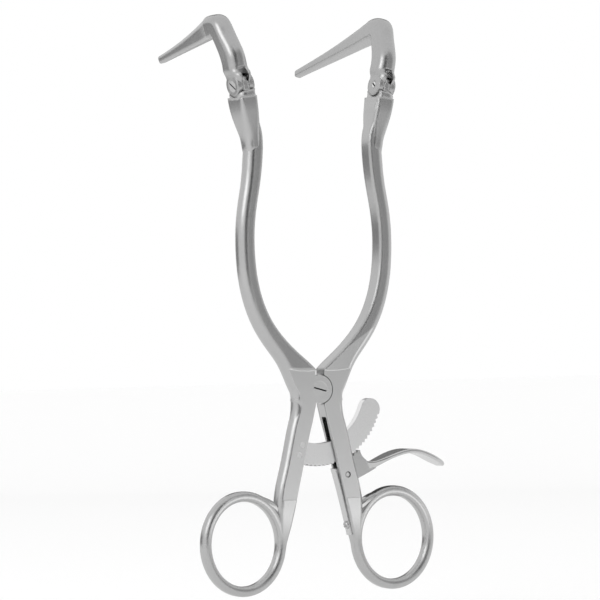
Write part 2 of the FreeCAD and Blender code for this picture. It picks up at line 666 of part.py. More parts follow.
def thumb_tab(body):
    """A strip that rises, crests and dips, wider than the plate and round-ended."""
    stations = [
        ("9.6", "3.8", "24", "ratchet_thick", "2.6"),
        ("13.2", "5.2", "24", "tab_wide * 0.62", "tab_thick + 0.5"),
        ("17.5", "7", "22", "tab_wide * 0.9", "tab_thick"),
        ("22.5", "8.6", "14", "tab_wide", "tab_thick"),
        ("28", "9.2", "-1", "tab_wide", "tab_thick"),
        ("33.5", "8", "-19", "tab_wide", "tab_thick"),
        ("39", "5.4", "-28", "tab_wide * 0.94", "tab_thick"),
        ("41.8", "3.8", "-31", "tab_wide * 0.6", "tab_thick - 0.3"),
    ]
    sections = []
    for out, up, rise, wide, thick in stations:
        x, z = by_pin(out, up)
        section = sketch_on(body, "YZ_Plane", (MIDDLE, z, x), (1, 0, 0), f"-({rise})")
        bar_section(section, wide, thick, "0.6", "0.6")
        sections.append(section)
    loft(body, sections)


def leaf_spring():
    """A strip flat on the shank at its screw, lifting off towards its free end."""
    body = new_body("leaf_spring")
    strip = sketch_on(body, "XZ_Plane", ("0", "0", f"-{MIDDLE}"))
    thick = "spring_thick"
    bend_at = "(spring_screw_at - 5)"
    half_way = f"(({bend_at} + spring_high) / 2)"
    part_lift = "(spring_lift * 0.3)"
    outline(strip, [
        along_shank("spring_low", "-0.01"), along_shank(bend_at, "-0.01"),
        (*along_shank(half_way, f"-0.01 - {part_lift}"),
         *along_shank("spring_high", "-0.01 - spring_lift")),
        along_shank("spring_high", f"-0.01 - spring_lift - {thick}"),
        (*along_shank(half_way, f"-0.01 - {part_lift} - {thick}"),
         *along_shank(bend_at, f"-0.01 - {thick}")),
        along_shank("spring_low", f"-0.01 - {thick}")])
    pad(body, strip, "spring_wide")
    hole = sketch_on(body, "YZ_Plane", (MIDDLE, along_shank("spring_screw_at")[1],
                                        along_shank("spring_screw_at")[0]),
                     axis=(1, 0, 0), turn="-shank_splay")
    circle(hole, "spring_screw_radius + fit")
    pocket(body, hole, "4 * spring_thick")
    return body


def spring_screw():
    """Domed slotted screw, its shank square into the right shank."""
    body = new_body("spring_screw")
    out, up = along_shank("spring_screw_at")
    place(body, "Placement", (out, MIDDLE, up), (0, 1, 0), "-shank_splay")
    profile = sketch_on(body, "XY_Plane")
    seat = "-(spring_thick + 0.02)"
    outline(profile, [
        ("3.2", "0"), (f"{seat} - spring_head_high", "0"),
        (f"{seat} - spring_head_high * 0.75", "spring_head_radius * 0.66", seat,
         "spring_head_radius"),
        (seat, "spring_screw_radius"), ("3.2", "spring_screw_radius")])
    turned_solid(body, profile, "H_Axis")
    slot = sketch_on(body, "YZ_Plane", ("0", "0", f"{seat} - spring_head_high"))
    half, long = "screw_slot / 2", "spring_head_radius + 0.5"
    outline(slot, [(f"-({long})", f"-{half}"), (long, f"-{half}"), (long, half), (f"-({long})", half)])
    pocket(body, slot, "2 * slot_deep")
    return body


def build():
    pieces = [left_half(), right_half(), joint_screw(), ratchet_bar()]
    for name, sign in (("upper_rivet", -1), ("lower_rivet", 1)):
        pieces.append(plain_pin(name, "rivet_radius", *rivet_spot(sign)))
    pieces += [release_lever(),
               plain_pin("lever_pin", "lever_pin_radius", "lever_pin_out", "-lever_pin_down"),
               leaf_spring(), spring_screw()]
    for side in (-1, 1):
        pieces += [tip(side), hinge_screw(side)]
    return pieces


def check(pieces):
    """Stops on anything that failed to build."""
    doc.recompute()
    for thing in doc.Objects:
        if {"Invalid", "Error"} & set(thing.State):
            raise RuntimeError(f"{thing.Label} failed: {thing.State}")
    for piece in pieces:
        shape = piece.Shape
        if shape.isNull() or not shape.isValid() or len(shape.Solids) != 1:
            raise RuntimeError(f"{piece.Label} is not one valid solid")
        print(f"{piece.Label}: {shape.Volume:.1f} mm3, {len(shape.Faces)} faces")


pieces = build()
check(pieces)
os.makedirs("parts", exist_ok=True)
for piece in pieces:
    piece.Shape.exportStep(f"parts/{piece.Label}.step")
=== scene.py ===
"""Looks of a ring-handled self-retaining retractor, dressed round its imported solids."""

from __future__ import annotations

import logging
import math
from collections.abc import Callable
from dataclasses import dataclass, field
from enum import Enum

import bmesh
import bpy
import numpy as np
from mathutils import Matrix, Vector

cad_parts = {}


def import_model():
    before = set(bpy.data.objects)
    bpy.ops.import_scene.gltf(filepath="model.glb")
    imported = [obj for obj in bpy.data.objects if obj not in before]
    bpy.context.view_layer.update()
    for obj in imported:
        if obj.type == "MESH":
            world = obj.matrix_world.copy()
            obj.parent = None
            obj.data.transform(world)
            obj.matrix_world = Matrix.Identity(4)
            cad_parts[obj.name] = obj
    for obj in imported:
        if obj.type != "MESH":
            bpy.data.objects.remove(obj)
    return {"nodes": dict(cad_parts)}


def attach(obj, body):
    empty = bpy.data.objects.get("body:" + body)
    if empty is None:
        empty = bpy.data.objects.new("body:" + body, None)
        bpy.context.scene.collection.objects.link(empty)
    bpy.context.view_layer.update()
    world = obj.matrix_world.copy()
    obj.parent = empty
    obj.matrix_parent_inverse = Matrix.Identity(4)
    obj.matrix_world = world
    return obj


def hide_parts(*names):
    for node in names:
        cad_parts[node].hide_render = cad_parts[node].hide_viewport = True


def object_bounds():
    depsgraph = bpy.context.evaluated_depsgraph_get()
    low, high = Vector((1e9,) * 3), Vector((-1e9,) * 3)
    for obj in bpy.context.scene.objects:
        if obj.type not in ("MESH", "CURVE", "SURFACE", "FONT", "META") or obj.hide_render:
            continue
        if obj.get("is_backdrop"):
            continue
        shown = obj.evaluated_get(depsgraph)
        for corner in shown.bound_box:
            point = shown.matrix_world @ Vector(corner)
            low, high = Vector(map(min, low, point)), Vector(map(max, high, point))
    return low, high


log = logging.getLogger("retractor")

# Places are in millimetres from the joint screw's axis: across, back and up.
MM = 0.001
MID_PLANE = 2.8  # depth of the plane between the two lugs
HINGE_OUT = 30.0
HINGE_UP = 109.3
LEAN = 12.0  # degrees that each tip's hinge leans outwards
PIN_OUT = 11.35
PIN_DOWN = 31.0
RING_SWING = 11.5  # how far the right ring swings down when the arms are spread

SHARP = math.radians(28.0)  # a copied solid keeps its edges where they turn by more
MERGED_WITHIN = 1e-7  # metres
SLIVER = 1e-8
BEVEL_SAMPLES = 6


class Side(Enum):
    """The two halves, by the sign of X where they lie."""

    LEFT = -1
    RIGHT = 1

    def named(self, piece: str) -> str:
        """A piece's name with its side in front."""
        return f"{self.name.lower()}_{piece}"


class Sock:
    """A shader socket that takes part in ordinary Python expressions."""

    def __init__(self, shader: Shader, socket: bpy.types.NodeSocket) -> None:
        """Wraps an output socket of one of the shader's nodes."""
        self.shader = shader
        self.socket = socket

    def maths(self, operation: str, *others: Sock | float) -> Sock:
        """This value and the others through one Math node."""
        return self.shader.node("Math", {"operation": operation}, self, *others)["Value"]

    def __add__(self, other: Sock | float) -> Sock:
        """This plus other."""
        return self.maths("ADD", other)

    __radd__ = __add__

    def __mul__(self, other: Sock | float) -> Sock:
        """This times other."""
        return self.maths("MULTIPLY", other)

    __rmul__ = __mul__

    def __sub__(self, other: Sock | float) -> Sock:
        """This less other."""
        return self.maths("SUBTRACT", other)

    def __rsub__(self, other: float) -> Sock:
        """A number less this."""
        return self.shader.node("Math", {"operation": "SUBTRACT"}, other, self)["Value"]

    def __truediv__(self, other: Sock | float) -> Sock:
        """This over other."""
        return self.maths("DIVIDE", other)

    def __pow__(self, other: float) -> Sock:
        """This to the power other."""
        return self.maths("POWER", other)

    def clamped(self) -> Sock:
        """This held between nought and one."""
        return self.maths("MINIMUM", 1.0).maths("MAXIMUM", 0.0)

    def magnitude(self) -> Sock:
        """This without its sign."""
        return self.maths("ABSOLUTE")

    def stepped(self, low: float, high: float) -> Sock:
        """Rises smoothly from nought at low to one at high: 3t squared less 2t cubed."""
        share = ((self - low) / (high - low)).clamped()
        return share * share * (3.0 - share * 2.0)


class Shader:
    """The node tree of one material."""

    def __init__(self, name: str) -> None:
        """Makes an empty material.

        Args:
            name: the material's name.
        """
        self.material = bpy.data.materials.new(name)
        self.material.use_nodes = True
        self.tree = self.material.node_tree
        self.tree.nodes.clear()

    def node(self, kind: str, settings: dict[str, object] | None = None,
             *values: Sock | float | tuple[float, ...],
             **inputs: Sock | float | tuple[float, ...]) -> dict[str, Sock]:
        """Adds a node.

        Args:
            kind: the node's type without its ShaderNode prefix.
            settings: its properties, set before its sockets.
            values: values or links for its sockets in their order.
            inputs: values or links by socket name, with _ for a space.

        Returns:
            Its outputs by name.
        """
        made = self.tree.nodes.new(f"ShaderNode{kind}")
        for key, value in (settings or {}).items():
            setattr(made, key, value)
        slots = [slot for slot in made.inputs if slot.enabled]
        fed = list(zip(slots, values))
        fed += [(made.inputs[key.replace("_", " ")], value) for key, value in inputs.items()]
        for slot, value in fed:
            if isinstance(value, Sock):
                self.tree.links.new(value.socket, slot)
            else:
                slot.default_value = value
        return {output.name: Sock(self, output) for output in made.outputs if output.enabled}

    def in_millimetres(self, place: Sock) -> tuple[Sock, Sock, Sock]:
        """How far a place lies across, back and up."""
        parts = self.node("SeparateXYZ", Vector=place)
        return parts["X"] / MM, parts["Y"] / MM, parts["Z"] / MM

    def reach(self, place: Sock, direction: tuple[float, float, float]) -> Sock:
        """How far a place lies along a direction, in millimetres."""
        return self.node("VectorMath", {"operation": "DOT_PRODUCT"}, place, direction)["Value"] / MM

    def squareness(self) -> Sock:
        """One where the surface looks straight to the front or the back, nought side on."""
        facing = self.node("SeparateXYZ", Vector=self.node("TexCoord")["Normal"])["Y"]
        return facing.magnitude()

    def noise(self, place: Sock, scale: float, detail: float = 3.0) -> Sock:
        """A noise value from nought to one at a scale in waves to the metre."""
        return self.node("TexNoise", Vector=place, Scale=scale, Detail=detail)["Fac"]

    def eased(self, radius: float) -> Sock:
        """The surface's direction with its edges eased by a radius in millimetres."""
        return self.node("Bevel", {"samples": BEVEL_SAMPLES}, Radius=radius * MM)["Normal"]

    def grey(self, value: Sock) -> Sock:
        """The grey of that brightness."""
        return self.node("CombineColor", Red=value, Green=value, Blue=value)["Color"]

    def close(self, surface: Sock) -> bpy.types.Material:
        """Joins a surface to the output and returns the material."""
        self.node("OutputMaterial", Surface=surface)
        return self.material


@dataclass(frozen=True)
class SteelFinish:
    """One finish of the bare stainless steel."""

    name: str
    light: float
    shade: float
    rough: float
    rough_spread: float = 0.05
    cloud: float = 60.0
    cloud_share: float = 0.5
    grain: float = 5200.0
    fleck: float = 0.35
    grain_depth: float = 0.012
    grain_strength: float = 0.25
    streak: tuple[float, float, float] = (1.0, 1.0, 1.0)
    edge_round: float = 0.25

    def along(self, shader: Shader, place: Sock) -> Sock:
        """The place, drawn out along the streaks."""
        return shader.node("Mapping", Vector=place, Scale=self.streak)["Vector"]

    def brightness(self, shader: Shader, place: Sock) -> Sock:
        """Clouds and flecks between the two tones.

        Args:
            shader: the material's shader.
            place: the point on the object.

        Returns:
            The brightness there.
        """
        clouds = shader.noise(place, self.cloud)
        flecks = shader.noise(self.along(shader, place), self.grain * self.fleck, detail=4.0)
        mottle = clouds * self.cloud_share + flecks * (1.0 - self.cloud_share)
        return self.shade + mottle.clamped() * (self.light - self.shade)

    def softened(self, shader: Shader, place: Sock) -> Sock:
        """The surface's direction with its edges eased, the same at every place."""
        return shader.eased(self.edge_round)

    def material(self) -> bpy.types.Material:
        """Builds the finish: mottled tone, fine grain in the bump, eased edges.

        Returns:
            The material.
        """
        shader = Shader(self.name)
        place = shader.node("TexCoord")["Object"]
        grain = shader.noise(self.along(shader, place), self.grain, detail=2.0)
        cloud = shader.noise(place, self.cloud)
        rough = self.rough + (cloud - 0.5) * self.rough_spread + (grain - 0.5) * self.rough_spread
        bump = shader.node("Bump", Strength=self.grain_strength, Distance=self.grain_depth * MM,
                           Height=grain, Normal=self.softened(shader, place))["Normal"]
        steel = shader.node("BsdfPrincipled", Metallic=1.0, Roughness=rough.clamped(), Normal=bump,
                            Base_Color=shader.grey(self.brightness(shader, place)))["BSDF"]
        return shader.close(steel)


@dataclass(frozen=True)
class ForgedFinish(SteelFinish):
    """Duller forged bars with brighter milled flats, and painted shade in the seams and slot.

    The flats end in a level step on the left half and in a slanted one on the right
    half, and fade out towards the rings. Shade is painted into the narrow gap round the
    other half's lug, the rim of the lever's pin and the walls of the lever's slot.
    Each pair of numbers is where a smooth step starts and where it ends.
    """

    flat_light: float = 0.77
    flat_foot: tuple[float, float] = (-56.0, -44.0)
    flat_head: tuple[float, float] = (7.3, 8.1)
    flat_slant: float = 0.62
    flat_square: tuple[float, float] = (0.93, 0.99)
    lug_radius: float = 5.2
    lug_side: tuple[float, float] = (0.0, 2.0)
    pin_radius: float = 0.95
    seam_edge: tuple[float, float] = (0.078, 0.208)
    slot_wall: tuple[float, float] = (1.40, 1.47)
    slot_side: tuple[float, float] = (0.0, 0.5)
    slot_head: tuple[float, float] = (-10.3, -10.0)
    slot_foot: tuple[float, float] = (-39.6, -39.3)
    # painted shade: the tone painted into the seams and the slot
    painted_shade_tone: float = 0.02
    bar_round: float = 1.5

    def milled(self, shader: Shader, place: Sock) -> Sock:
        """Tells the milled flats from the forged bars.

        Args:
            shader: the material's shader.
            place: the point on the object.

        Returns:
            One on the flats and nought on the bars.
        """
        across, _, up = shader.in_millimetres(place)
        above = up - across.maths("MAXIMUM", 0.0) * self.flat_slant
        level = up.stepped(*self.flat_foot) * (1.0 - above.stepped(*self.flat_head))
        return level * shader.squareness().stepped(*self.flat_square)

    def ring_seam(self, across: Sock, up: Sock, radius: float) -> Sock:
        """One on a narrow circle about a point that across and up start from."""
        away = ((across * across + up * up) ** 0.5 - radius).magnitude()
        return 1.0 - away.stepped(*self.seam_edge)

    def painted_shade_mask(self, shader: Shader, place: Sock) -> Sock:
        """Finds the seams and the slot, where shade is painted.

        Args:
            shader: the material's shader.
            place: the point on the object.

        Returns:
            One in them and nought elsewhere.
        """
        across, depth, up = shader.in_millimetres(place)
        behind = MID_PLANE - depth
        lug = self.ring_seam(across, up, self.lug_radius) * \
            (across * behind).stepped(*self.lug_side)
        pin = self.ring_seam(across - PIN_OUT, up + PIN_DOWN, self.pin_radius)
        slot = (1.0 - behind.magnitude().stepped(*self.slot_wall)) * \
            across.stepped(*self.slot_side) * \
            up.stepped(*self.slot_foot) * (1.0 - up.stepped(*self.slot_head))
        return (lug + pin + slot).clamped()

    def brightness(self, shader: Shader, place: Sock) -> Sock:
        """The forged tone, lifted on the flats and darkened by painted shade in the seams and slot.

        Args:
            shader: the material's shader.
            place: the point on the object.

        Returns:
            The brightness there.
        """
        forged = super().brightness(shader, place)
        ground = forged + (self.flat_light - self.light) * self.milled(shader, place)
        # painted shade darkens the seams round the lug and the pin, and the lever's slot
        dark = self.painted_shade_mask(shader, place)
        return ground * (1.0 - dark) + self.painted_shade_tone * dark

    def softened(self, shader: Shader, place: Sock) -> Sock:
        """Edges eased widely on the bars and narrowly on the flats.

        Args:
            shader: the material's shader.
            place: the point on the object.

        Returns:
            The surface's direction.
        """
        return shader.node("Mix", {"data_type": "VECTOR"}, self.milled(shader, place),
                           shader.eased(self.bar_round), shader.eased(self.edge_round))["Result"]


@dataclass(frozen=True)
class ToothedFinish(SteelFinish):
    """Ground steel with painted shade in the gaps between the bar's teeth."""

    cloud_share: float = 0.0
    gaps: tuple[float, float] = (27.0, 27.42)
    # painted shade: share by which the walls of the gaps between teeth are darkened
    gap_painted_shade: float = 0.65

    def brightness(self, shader: Shader, place: Sock) -> Sock:
        """The ground tone, with painted shade where the surface lies beyond the teeth's roots.

        Args:
            shader: the material's shader.
            place: the point on the object.

        Returns:
            The brightness there.
        """
        across, _, up = shader.in_millimetres(place)
        beyond = ((across * across + up * up) ** 0.5).stepped(*self.gaps)
        # painted shade on the side walls of the gaps between the teeth
        walls = self.gap_painted_shade * beyond * (1.0 - shader.squareness())
        return super().brightness(shader, place) * (1.0 - walls)


@dataclass(frozen=True)
class SlottedFinish(SteelFinish):
    """Steel with painted shade in one straight slot."""

    cloud_share: float = 0.0
    centre: tuple[float, float, float] = (0.0, 0.0, 0.0)
    square: tuple[float, float, float] = (0.0, 0.0, 1.0)
    inward: tuple[float, float, float] = (0.0, 1.0, 0.0)
    half_slot: float = 0.29
    slot_edge: float = 0.04
    slot_lip: tuple[float, float] = (0.02, 0.08)
    # painted shade: the tone painted into the slot
    slot_painted_shade: float = 0.015

    def brightness(self, shader: Shader, place: Sock) -> Sock:
        """The tone, with painted shade where the surface lies in the slot and below the face.

        Args:
            shader: the material's shader.
            place: the point on the object.

        Returns:
            The brightness there.
        """
        centre = tuple(value * MM for value in self.centre)
        from_centre = shader.node("VectorMath", {"operation": "SUBTRACT"}, place, centre)["Vector"]
        beside = shader.reach(from_centre, self.square).magnitude()
        below = shader.reach(from_centre, self.inward).stepped(*self.slot_lip)
        # painted shade in the slot, below the face
        slot = (1.0 - beside.stepped(self.half_slot, self.half_slot + self.slot_edge)) * below
        return super().brightness(shader, place) * (1.0 - slot) + self.slot_painted_shade * slot


def sine(degrees: float) -> float:
    """The sine of an angle in degrees."""
    return math.sin(math.radians(degrees))


def cosine(degrees: float) -> float:
    """The cosine of an angle in degrees."""
    return math.cos(math.radians(degrees))


def hinge_screw_finish(side: Side) -> SlottedFinish:
    """The finish of a hinge screw, with painted shade in its slot, slanted in its ear's outer face.

    Args:
        side: the half that the screw is on.

    Returns:
        The finish.
    """
    half_ear, slant = 3.45, 35.0
    return SlottedFinish(
        side.named("hinge_screw_steel"), 0.74, 0.66, 0.26, edge_round=0.1,
        centre=(side.value * (HINGE_OUT + half_ear * cosine(LEAN)), MID_PLANE,
                HINGE_UP - half_ear * sine(LEAN)),
        square=(side.value * sine(LEAN) * cosine(slant), -sine(slant),
                cosine(LEAN) * cosine(slant)),
        inward=(-side.value * cosine(LEAN), 0.0, sine(LEAN)))


def tip_finish(side: Side) -> SlottedFinish:
    """The finish of a tip, forged all over, with painted shade inside its fork.

    Args:
        side: the half that the tip is on.

    Returns:
        The finish.
    """
    fork_root = 6.3
    return SlottedFinish(
        side.named("tip_steel"), 0.46, 0.38, 0.26, edge_round=1.2, half_slot=1.34,
        centre=(side.value * (HINGE_OUT + fork_root * sine(LEAN)), MID_PLANE,
                HINGE_UP + fork_root * cosine(LEAN)),
        square=(cosine(LEAN), 0.0, -side.value * sine(LEAN)),
        inward=(-side.value * sine(LEAN), 0.0, -cosine(LEAN)))


class Finish(Enum):
    """The finishes that the pieces are given."""

    FORGED = ForgedFinish("forged_steel", 0.50, 0.41, 0.22)
    LEFT_TIP = tip_finish(Side.LEFT)
    RIGHT_TIP = tip_finish(Side.RIGHT)
    GROUND = SteelFinish("ground_steel", 0.78, 0.68, 0.30, streak=(1.0, 1.0, 0.12))
    LEVER = SteelFinish("lever_steel", 0.60, 0.50, 0.26, streak=(0.12, 1.0, 1.0))
    TOOTHED = ToothedFinish("toothed_steel", 0.84, 0.74, 0.30)
    SPRING = SteelFinish("spring_steel", 0.60, 0.50, 0.27, streak=(1.0, 1.0, 0.1))
    JOINT_SCREW = SlottedFinish("joint_screw_steel", 0.74, 0.66, 0.26, edge_round=0.1,
                                square=(sine(15.0), 0.0, cosine(15.0)))
    LEFT_HINGE_SCREW = hinge_screw_finish(Side.LEFT)
    RIGHT_HINGE_SCREW = hinge_screw_finish(Side.RIGHT)
    DOMED = SteelFinish("domed_steel", 0.50, 0.40, 0.26, edge_round=0.1)


@dataclass(frozen=True)
class Change:
    """A size that goes smoothly from one value to another between two places."""

    before: float
    after: float
    start: float
    end: float

    def at(self, places: np.ndarray) -> np.ndarray:
        """Finds the size at each place, along 3t squared less 2t cubed.

        Args:
            places: how far along each place lies, in millimetres.

        Returns:
            The size at each of them.
        """
        share = np.clip((places - self.start) / (self.end - self.start), 0.0, 1.0)
        return self.before + (self.after - self.before) * share * share * (3.0 - 2.0 * share)


def slimmed(share: np.ndarray, least: float, power: float) -> np.ndarray:
    """Grows from least at both ends to one between: half a sine wave to a power."""
    return least + (1.0 - least) * np.sin(np.pi * share) ** power


def fitted(spots: tuple[tuple[float, float], ...], degree: int, up: np.ndarray) -> np.ndarray:
    """Fits a polynomial to spots of an edge.

    Args:
        spots: how far out and how far up each spot lies.
        degree: the polynomial's degree.
        up: the heights to find.

    Returns:
        How far out the curve lies at each height.
    """
    out, high = np.array(spots).T
    return np.polyval(np.polyfit(high, out, degree), up)


def linked(name: str, data: bpy.types.ID) -> bpy.types.Object:
    """Puts data into the scene as an object.

    Args:
        name: the object's name.
        data: its mesh, lamp or camera.

    Returns:
        The object, at the origin.
    """
    made = bpy.data.objects.new(name, data)
    bpy.context.scene.collection.objects.link(made)
    return made


def eased_copy(source: bpy.types.Object, name: str,
               rule: Callable[[np.ndarray], np.ndarray]) -> bpy.types.Object:
    """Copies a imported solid, merges it and moves its points by a rule.

    Args:
        source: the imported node.
        name: the copy's name.
        rule: gives new points for an array of points, both in millimetres.

    Returns:
        The copy, smooth but for its edges.
    """
    mesh = source.data.copy()
    mesh.name = name
    work = bmesh.new()
    work.from_mesh(mesh)
    bmesh.ops.remove_doubles(work, verts=work.verts, dist=MERGED_WITHIN)
    bmesh.ops.dissolve_degenerate(work, edges=work.edges, dist=SLIVER)
    work.to_mesh(mesh)
    work.free()
    points = np.empty(len(mesh.vertices) * 3, dtype=np.float32)
    mesh.vertices.foreach_get("co", points)
    moved = rule(points.reshape(-1, 3).astype(float) / MM) * MM
    mesh.vertices.foreach_set("co", moved.astype(np.float32).ravel())
    for layer in [a.name for a in mesh.attributes if a.name == "custom_normal"]:
        mesh.attributes.remove(mesh.attributes[layer])
    mesh.polygons.foreach_set("use_smooth", np.ones(len(mesh.polygons), dtype=bool))
    mesh.set_sharp_from_angle(angle=SHARP)
    mesh.update()
    copy = linked(name, mesh)
    even = copy.modifiers.new("even_shading", "WEIGHTED_NORMAL")
    even.keep_sharp = True
    even.mode = "FACE_AREA"
    return copy


def carried(name: str, path: np.ndarray, wide: np.ndarray, deep: np.ndarray,
            power: float | np.ndarray = 3.0, around: int = 48) -> bpy.types.Object:
    """Carries a rounded oblong along a path in an XZ plane, closed at both ends.

    At each spot of the path the profile is a superellipse: its share across is the
    cosine and its share in depth the sine of the angle round it, each to the power
    2 / power with its sign kept. Across lies square to the path, depth lies along Y.
    A fan of triangles from the path's end closes each end.

    Args:
        name: the piece's name.
        path: spots of the path as X, Y and Z in millimetres, one row each.
        wide: the profile's width at each spot.
        deep: its depth at each spot.
        power: squareness of the profile, 2 for an ellipse, or one for each spot.
        around: points round the profile.

    Returns:
        The piece.
    """
    along = np.gradient(path, axis=0)
    across = np.stack((along[:, 2], np.zeros(len(path)), -along[:, 0]), axis=1)
    across /= np.linalg.norm(across, axis=1, keepdims=True)
    turn = np.linspace(0.0, 2.0 * np.pi, around, endpoint=False)
    share = 2.0 / np.broadcast_to(power, len(path))[:, None]
    share_wide = np.sign(np.cos(turn)) * np.abs(np.cos(turn)) ** share
    share_deep = np.sign(np.sin(turn)) * np.abs(np.sin(turn)) ** share
    rings = (path[:, None, :]
             + across[:, None, :] * ((wide / 2)[:, None] * share_wide)[:, :, None]
             + np.array((0.0, 1.0, 0.0)) * ((deep / 2)[:, None] * share_deep)[:, :, None])
    points = np.concatenate((rings.reshape(-1, 3), path[:1], path[-1:]))
    row, column = np.meshgrid(np.arange(len(path) - 1), np.arange(around), indexing="ij")
    following = (column + 1) % around
    quads = np.stack((row * around + column, row * around + following,
                      (row + 1) * around + following, (row + 1) * around + column), axis=-1)
    edge = np.arange(around)
    next_edge = (edge + 1) % around
    last_row, centres = (len(path) - 1) * around, len(path) * around
    first_fan = np.stack((np.full(around, centres), next_edge, edge), axis=1)
    last_fan = np.stack((np.full(around, centres + 1), last_row + edge, last_row + next_edge),
                        axis=1)
    mesh = bpy.data.meshes.new(name)
    faces = quads.reshape(-1, 4).tolist() + first_fan.tolist() + last_fan.tolist()
    mesh.from_pydata((points * MM).tolist(), [], faces)
    mesh.polygons.foreach_set("use_smooth", np.ones(len(mesh.polygons), dtype=bool))
    work = bmesh.new()
    work.from_mesh(mesh)
    bmesh.ops.recalc_face_normals(work, faces=work.faces)
    work.to_mesh(mesh)
    work.free()
    return linked(name, mesh)


@dataclass
class Dresser:
    """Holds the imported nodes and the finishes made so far."""

    nodes: dict[str, bpy.types.Object]
    made: dict[Finish, bpy.types.Material] = field(default_factory=dict)

    def finish(self, kind: Finish) -> bpy.types.Material:
        """Makes the material of a finish, once.

        Args:
            kind: the finish.

        Returns:
            Its material.
        """
        if kind not in self.made:
            self.made[kind] = kind.value.material()
        return self.made[kind]

    def wear(self, node: str, kind: Finish) -> None:
        """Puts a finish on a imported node.

        Args:
            node: the node's name.
            kind: its finish.
        """
        mesh = self.nodes[node].data
        mesh.materials.clear()
        mesh.materials.append(self.finish(kind))
        log.info("%s wears %s", node, kind.value.name)

    def join(self, piece: bpy.types.Object, body: str, kind: Finish) -> None:
        """Finishes a new piece and lets it ride on a body.

        Args:
            piece: the new piece.
            body: the body that it moves with.
            kind: its finish.
        """
        piece.data.materials.clear()
        piece.data.materials.append(self.finish(kind))
        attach(piece, body)
        log.info("%s rides on %s", piece.name, body)

    def stand_in(self, piece: bpy.types.Object, node: str, body: str,
                 kind: Finish) -> None:
        """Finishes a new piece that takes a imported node's place."""
        self.join(piece, body, kind)
        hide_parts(node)


@dataclass
class Halves:
    """The two forged halves, with a ring root, a shoulder and a block on each."""

    ring_out: float = 31.7
    ring_down: float = 54.5
    root_starts: tuple[float, float] = (-5.0, 16.0)  # out and up from the ring's centre
    root_runs: tuple[float, float] = (-9.8, -4.6)
    root_bow: float = 0.35
    root_wide: float = 3.6
    root_deep: float = 4.2
    root_slims: tuple[float, float] = (0.35, 0.35)  # least share and power
    root_blunt: float = 0.12  # share of the length with one thickness at each end
    root_spots: int = 25
    edge_spots: tuple[tuple[float, float], ...] = (
        (13.3, 4.5), (11.2, 0.0), (10.45, -4.0), (10.8, -10.05), (13.2, -18.9), (15.7, -28.9))
    edge_from: float = 5.5
    edge_to: float = -27.0
    edge_inset: float = 2.6
    edge_wide: float = 5.4
    edge_deep: float = 5.5
    edge_slims: tuple[float, float] = (0.5, 0.5)
    edge_power: float = 2.2
    edge_rows: int = 61
    block_spots: tuple[tuple[float, float], ...] = (
        (29.15, 105.1), (27.3, 95.6), (26.1, 89.3), (25.75, 84.8))
    block_starts: float = 4.4  # below the hinge, along the leaning arm
    block_ends: float = 30.0
    block_back: Change = Change(0.35, 0.10, 10.0, 22.0)
    block_wide: Change = Change(6.95, 6.0, 9.0, 24.0)
    block_deep: Change = Change(10.3, 6.5, 4.0, 24.0)
    block_sinks: Change = Change(0.0, 1.9, 22.0, 30.0)
    block_power: Change = Change(10.0, 3.0, 5.0, 20.0)
    block_rows: int = 57
    block_around: int = 96

    def ring_root(self, side: Side) -> bpy.types.Object:
        """Carries the ring's bar on into the shank.

        The path is a straight line lifted by half a sine wave.

        Args:
            side: the half that it is on.

        Returns:
            The short bar.
        """
        share = np.linspace(0.0, 1.0, self.root_spots)
        out = self.ring_out + self.root_starts[0] + self.root_runs[0] * share
        up = -self.ring_down + self.root_starts[1] + self.root_runs[1] * share
        up = up + self.root_bow * np.sin(np.pi * share)
        path = np.stack((side.value * out, np.full(self.root_spots, MID_PLANE), up), axis=1)
        ends = slimmed(np.clip(share, self.root_blunt, 1.0 - self.root_blunt), *self.root_slims)
        return carried(side.named("ring_root"), path, self.root_wide * ends, self.root_deep * ends)

    def shoulder(self, side: Side) -> bpy.types.Object:
        """Rounds off the outer edge where the arm runs into the shank.

        The edge's distance from the middle is a fourth-degree curve of its height,
        fitted to six spots of it, and the bar follows that curve inside the edge.

        Args:
            side: the half that it is on.

        Returns:
            The rounded edge.
        """
        up = np.linspace(self.edge_from, self.edge_to, self.edge_rows)
        out = fitted(self.edge_spots, 4, up) - self.edge_inset
        path = np.stack((side.value * out, np.full(self.edge_rows, MID_PLANE), up), axis=1)
        ends = slimmed(np.linspace(0.0, 1.0, self.edge_rows), *self.edge_slims)
        return carried(side.named("shoulder"), path, self.edge_wide * ends, self.edge_deep * ends,
                       power=self.edge_power)

    def block(self, side: Side) -> bpy.types.Object:
        """Draws the wedge that runs from under the hinge's seat down into the arm.

        Its middle line's distance from the middle is a cubic curve of its height. From
        top to bottom it narrows, thins and turns from square to rounded, and its lower
        end sinks into the arm along a smooth step.

        Args:
            side: the half that it is on.

        Returns:
            The wedge.
        """
        below = np.linspace(self.block_starts, self.block_ends, self.block_rows)
        up = HINGE_UP - below * cosine(LEAN)
        out = fitted(self.block_spots, 3, up)
        path = np.stack((side.value * out, MID_PLANE + self.block_back.at(below), up), axis=1)
        sunk = self.block_sinks.at(below)
        return carried(side.named("block"), path, self.block_wide.at(below) - sunk,
                       self.block_deep.at(below) - sunk, power=self.block_power.at(below),
                       around=self.block_around)

    def dress(self, dresser: Dresser) -> None:
        """Finishes both halves and adds their ring roots, shoulders and blocks.

        Args:
            dresser: holds the nodes and the finishes.
        """
        for side in Side:
            half = side.named("half")
            dresser.wear(half, Finish.FORGED)
            for piece in (self.ring_root(side), self.shoulder(side), self.block(side)):
                dresser.join(piece, half, Finish.FORGED)


